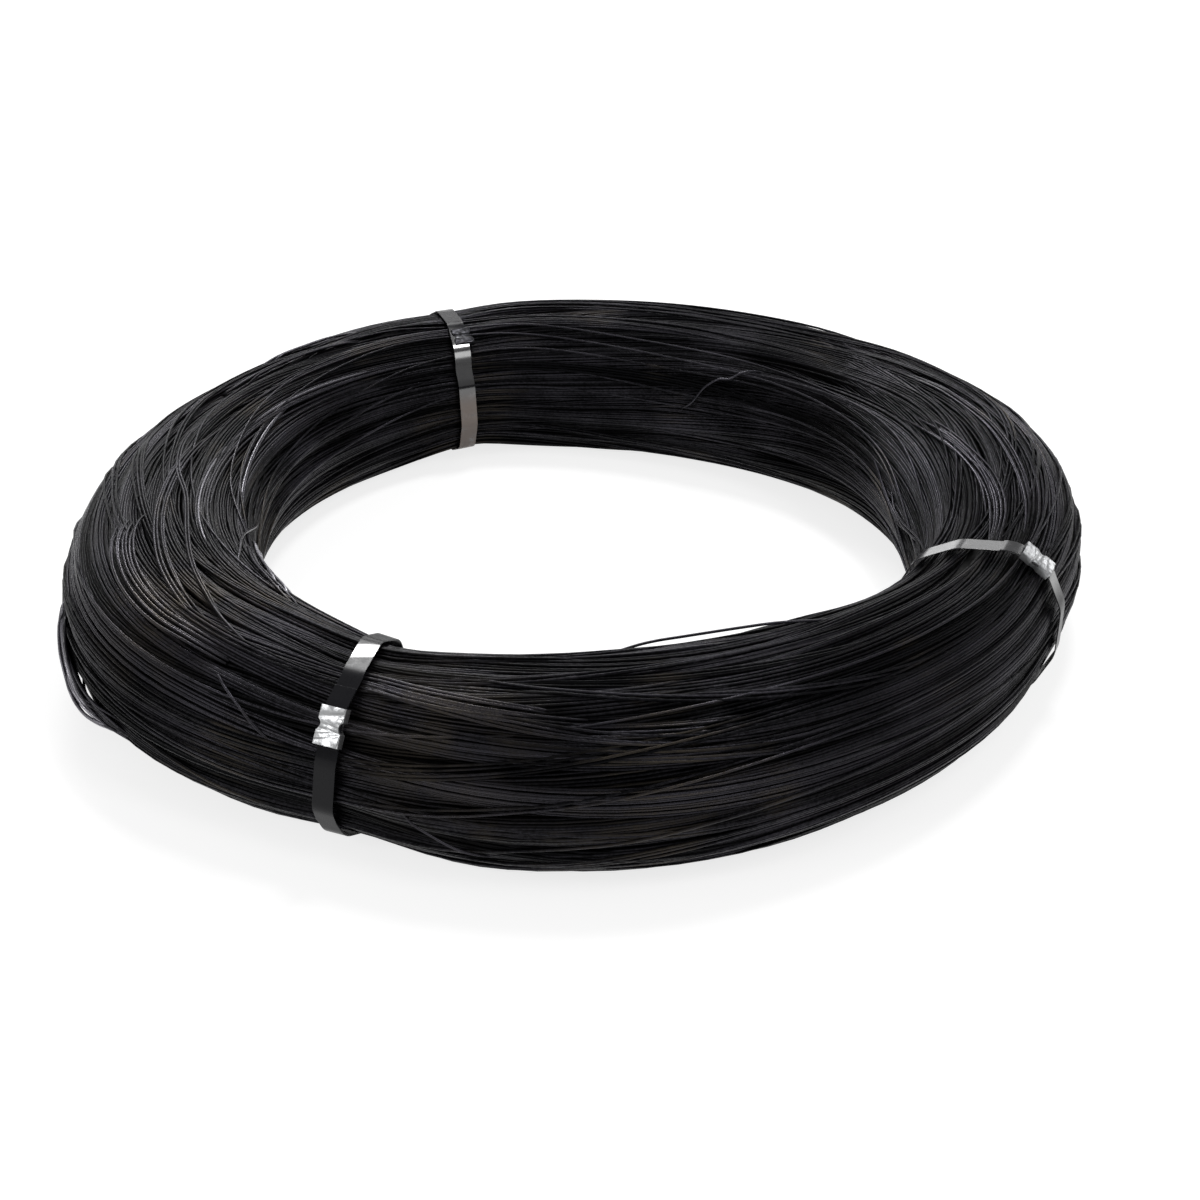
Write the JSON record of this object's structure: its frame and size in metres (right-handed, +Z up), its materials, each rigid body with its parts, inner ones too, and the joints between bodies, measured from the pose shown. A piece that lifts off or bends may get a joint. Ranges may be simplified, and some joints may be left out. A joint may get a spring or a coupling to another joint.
{
  "type": "coil of binding wire",
  "caption": "Ring-shaped coil of black annealed steel binding wire, lying flat, tied with flat steel straps and crimped seals.",
  "frame": {"origin": "on the floor, under the middle of the coil's footprint", "axes": "+Z up along the coil's axis, +X to the right and +Y away from the viewer as in the picture"},
  "size_m": [0.4816, 0.4756, 0.0867],
  "materials": {
    "wire": "black annealed",
    "strap": "black lacquered strip",
    "seal": "zinc plated"
  },
  "bodies": {
    "root": {"wire_coil": "wire", "strap_back": "strap", "strap_front": "strap", "strap_right": "strap", "seal_back": "seal", "seal_front": "seal", "seal_right": "seal"}
  },
  "joints": []
}
